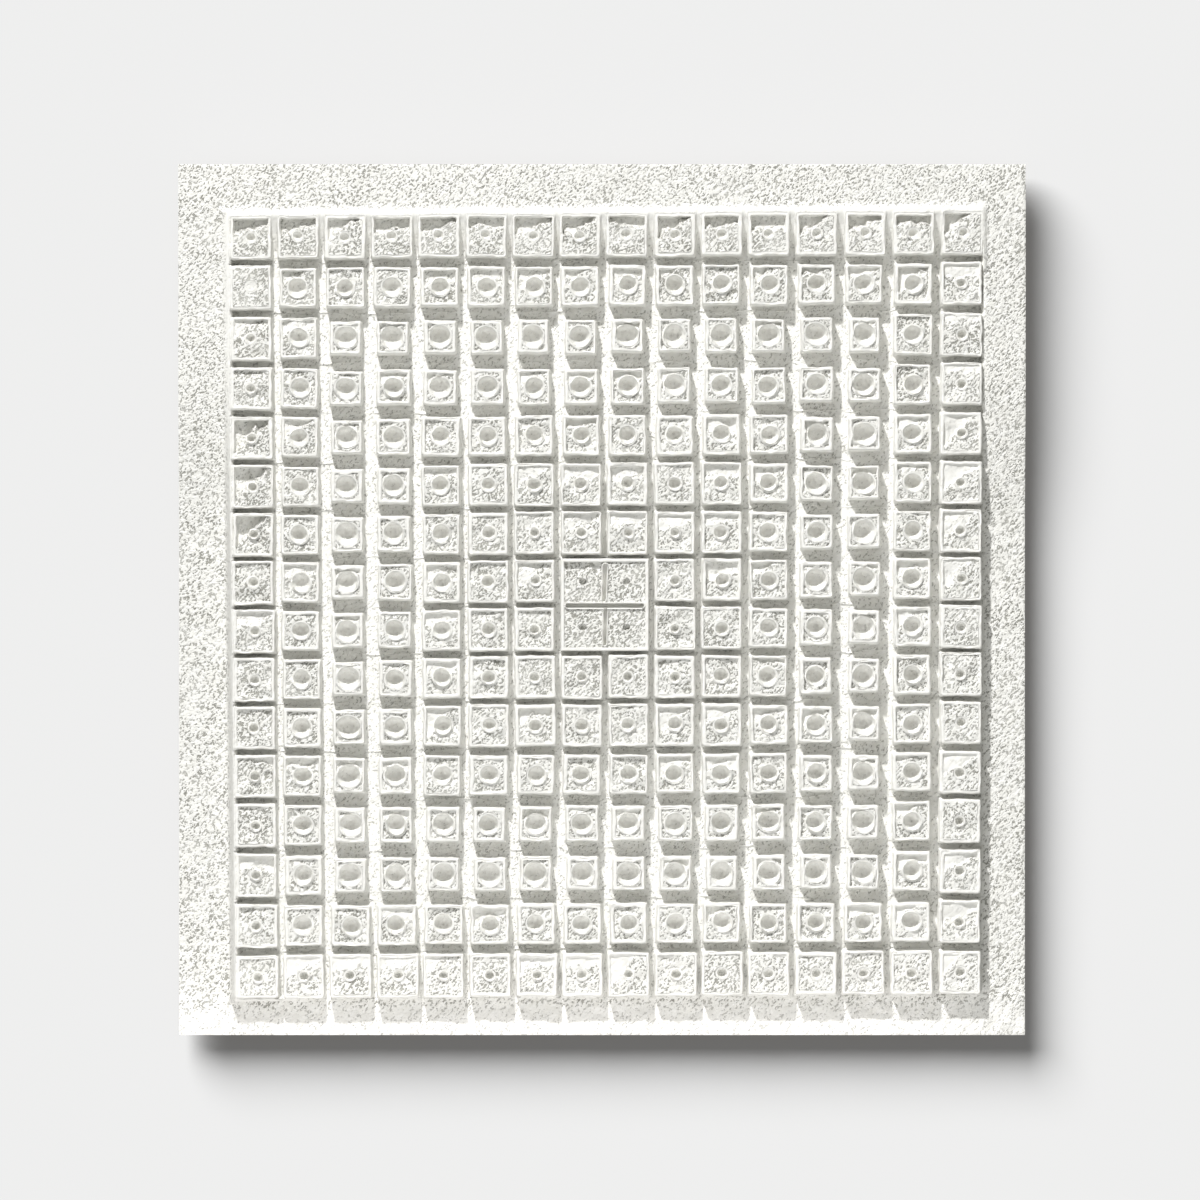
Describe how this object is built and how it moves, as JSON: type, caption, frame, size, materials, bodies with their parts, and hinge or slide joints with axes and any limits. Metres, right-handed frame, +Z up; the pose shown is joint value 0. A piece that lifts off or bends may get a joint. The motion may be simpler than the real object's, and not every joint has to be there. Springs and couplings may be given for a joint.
{
  "type": "relief wall panel",
  "caption": "Square wall-hung relief panel in white sand plaster: a grid of raised square blocks with round sockets inside a textured border, on a wooden cradle with D-ring hangers.",
  "frame": {"origin": "middle of the cradle's back plane, on the vertical brace", "axes": "+Z up the panel, +Y out of its back towards the wall, +X to the right of someone facing the panel"},
  "size_m": [0.8, 0.0549, 0.823],
  "materials": {
    "block_plaster": "matte",
    "border_plaster": "matte",
    "fibreboard": "matte",
    "pine": "matte",
    "hanger_steel": "satin",
    "screw_steel": "satin",
    "rubber": "matte"
  },
  "bodies": {
    "panel": {"margin_top": "border_plaster", "margin_bottom": "border_plaster", "margin_left": "border_plaster", "margin_right": "border_plaster", "cell_row_01": "block_plaster", "cell_row_02": "block_plaster", "cell_row_03": "block_plaster", "cell_row_04": "block_plaster", "cell_row_05": "block_plaster", "cell_row_06": "block_plaster", "cell_row_07": "block_plaster", "cell_row_08": "block_plaster", "cell_row_09": "block_plaster", "cell_row_10": "block_plaster", "cell_row_11": "block_plaster", "cell_row_12": "block_plaster", "cell_row_13": "block_plaster", "cell_row_14": "block_plaster", "cell_row_15": "block_plaster", "cell_row_16": "block_plaster", "centre_tile": "block_plaster", "face_board": "fibreboard", "rail_top": "pine", "rail_bottom": "pine", "rail_left": "pine", "rail_right": "pine", "brace_vertical": "pine", "brace_left": "pine", "brace_right": "pine", "corner_block_top_left": "pine", "corner_block_top_right": "pine", "corner_block_bottom_left": "pine", "corner_block_bottom_right": "pine", "board_screw_1": "screw_steel", "board_screw_2": "screw_steel", "board_screw_3": "screw_steel", "board_screw_4": "screw_steel", "board_screw_5": "screw_steel", "board_screw_6": "screw_steel", "board_screw_7": "screw_steel", "board_screw_8": "screw_steel", "hanger_strap_left": "hanger_steel", "hanger_strap_right": "hanger_steel", "hanger_screw_left_1": "screw_steel", "hanger_screw_left_2": "screw_steel", "hanger_screw_right_1": "screw_steel", "hanger_screw_right_2": "screw_steel", "wall_bumper_top_left": "rubber", "wall_bumper_top_right": "rubber", "wall_bumper_bottom_left": "rubber", "wall_bumper_bottom_right": "rubber"},
    "ring_left": {"hanger_ring_left": "hanger_steel"},
    "ring_right": {"hanger_ring_right": "hanger_steel"}
  },
  "joints": [
    {"name": "ring_left_swing", "type": "hinge", "parent": "panel", "child": "ring_left", "pos_m": [-0.35, 0.0036, 0.2615], "axis": [1, 0, 0], "range_deg": [0, 180]},
    {"name": "ring_right_swing", "type": "hinge", "parent": "panel", "child": "ring_right", "pos_m": [0.35, 0.0036, 0.2615], "axis": [1, 0, 0], "range_deg": [0, 180]}
  ]
}
